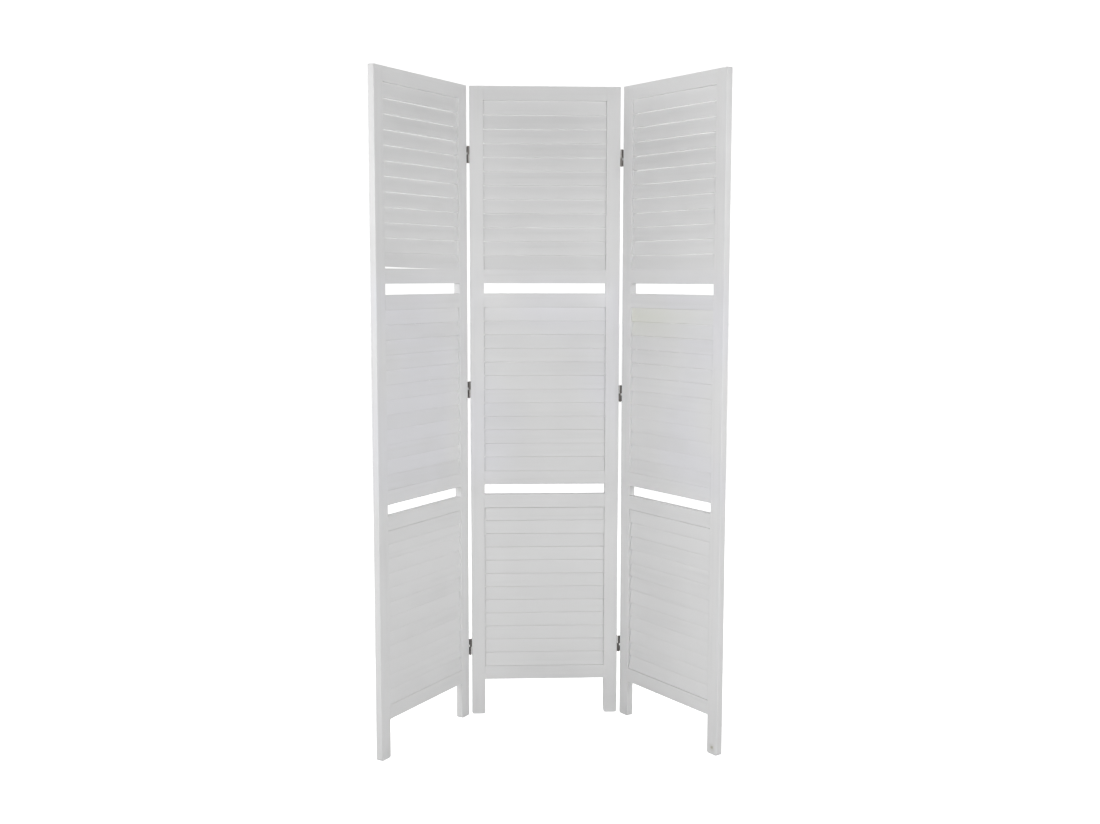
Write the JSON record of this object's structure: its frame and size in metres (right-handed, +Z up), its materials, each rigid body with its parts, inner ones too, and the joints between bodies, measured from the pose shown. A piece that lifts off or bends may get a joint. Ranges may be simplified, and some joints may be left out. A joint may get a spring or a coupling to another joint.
{
  "type": "folding screen",
  "caption": "Free-standing folding screen of louvred wooden panels with open slots, joined by double-action hinges that fold both ways.",
  "frame": {"origin": "on the floor, below the middle of the folded-out screen's bounding box", "axes": "+Z up, +Y towards the back of the centre panel, +X along the centre panel to the right of someone who faces its front"},
  "size_m": [0.8676, 0.3606, 1.7],
  "materials": {
    "frame_paint": "light softwood, thin matt white paint, grain showing faintly through",
    "louvre_paint": "thin softwood slats, matt white paint",
    "hinge_metal": "dark bronzed sheet steel",
    "pin_metal": "dark steel pins with riveted heads",
    "screw_metal": "dark countersunk wood screws"
  },
  "bodies": {
    "centre_panel": {"centre_left_stile": "frame_paint", "centre_right_stile": "frame_paint", "centre_bottom_rail": "frame_paint", "centre_low_slot_sill": "frame_paint", "centre_low_slot_head": "frame_paint", "centre_high_slot_sill": "frame_paint", "centre_high_slot_head": "frame_paint", "centre_top_rail": "frame_paint", "centre_bottom_louvres": "louvre_paint", "centre_middle_louvres": "louvre_paint", "centre_top_louvres": "louvre_paint", "left_low_hinge_centre_leaf": "hinge_metal", "left_middle_hinge_centre_leaf": "hinge_metal", "left_high_hinge_centre_leaf": "hinge_metal", "right_low_hinge_centre_leaf": "hinge_metal", "right_middle_hinge_centre_leaf": "hinge_metal", "right_high_hinge_centre_leaf": "hinge_metal", "left_front_hinge_pins": "pin_metal", "left_centre_hinge_screws": "screw_metal", "right_front_hinge_pins": "pin_metal", "right_centre_hinge_screws": "screw_metal"},
    "left_link": {"left_low_hinge_link": "hinge_metal", "left_middle_hinge_link": "hinge_metal", "left_high_hinge_link": "hinge_metal"},
    "left_wing": {"left_wing_left_stile": "frame_paint", "left_wing_right_stile": "frame_paint", "left_wing_bottom_rail": "frame_paint", "left_wing_low_slot_sill": "frame_paint", "left_wing_low_slot_head": "frame_paint", "left_wing_high_slot_sill": "frame_paint", "left_wing_high_slot_head": "frame_paint", "left_wing_top_rail": "frame_paint", "left_wing_bottom_louvres": "louvre_paint", "left_wing_middle_louvres": "louvre_paint", "left_wing_top_louvres": "louvre_paint", "left_low_hinge_wing_leaf": "hinge_metal", "left_middle_hinge_wing_leaf": "hinge_metal", "left_high_hinge_wing_leaf": "hinge_metal", "left_back_hinge_pins": "pin_metal", "left_wing_hinge_screws": "screw_metal"},
    "right_link": {"right_low_hinge_link": "hinge_metal", "right_middle_hinge_link": "hinge_metal", "right_high_hinge_link": "hinge_metal"},
    "right_wing": {"right_wing_left_stile": "frame_paint", "right_wing_right_stile": "frame_paint", "right_wing_bottom_rail": "frame_paint", "right_wing_low_slot_sill": "frame_paint", "right_wing_low_slot_head": "frame_paint", "right_wing_high_slot_sill": "frame_paint", "right_wing_high_slot_head": "frame_paint", "right_wing_top_rail": "frame_paint", "right_wing_bottom_louvres": "louvre_paint", "right_wing_middle_louvres": "louvre_paint", "right_wing_top_louvres": "louvre_paint", "right_low_hinge_wing_leaf": "hinge_metal", "right_middle_hinge_wing_leaf": "hinge_metal", "right_high_hinge_wing_leaf": "hinge_metal", "right_back_hinge_pins": "pin_metal", "right_wing_hinge_screws": "screw_metal"}
  },
  "joints": [
    {"name": "left_front_fold", "type": "hinge", "parent": "centre_panel", "child": "left_link", "pos_m": [-0.2038, 0.16079, 0.9], "axis": [0, 0, 1], "range_deg": [-58, 122]},
    {"name": "left_back_fold", "type": "hinge", "parent": "left_link", "child": "left_wing", "pos_m": [-0.22161, 0.17192, 0.9], "axis": [0, 0, -1], "range_deg": [0, 90]},
    {"name": "right_front_fold", "type": "hinge", "parent": "centre_panel", "child": "right_link", "pos_m": [0.2038, 0.16079, 0.9], "axis": [0, 0, -1], "range_deg": [-58, 32]},
    {"name": "right_back_fold", "type": "hinge", "parent": "right_link", "child": "right_wing", "pos_m": [0.22161, 0.17192, 0.9], "axis": [0, 0, 1], "range_deg": [0, 180]}
  ]
}
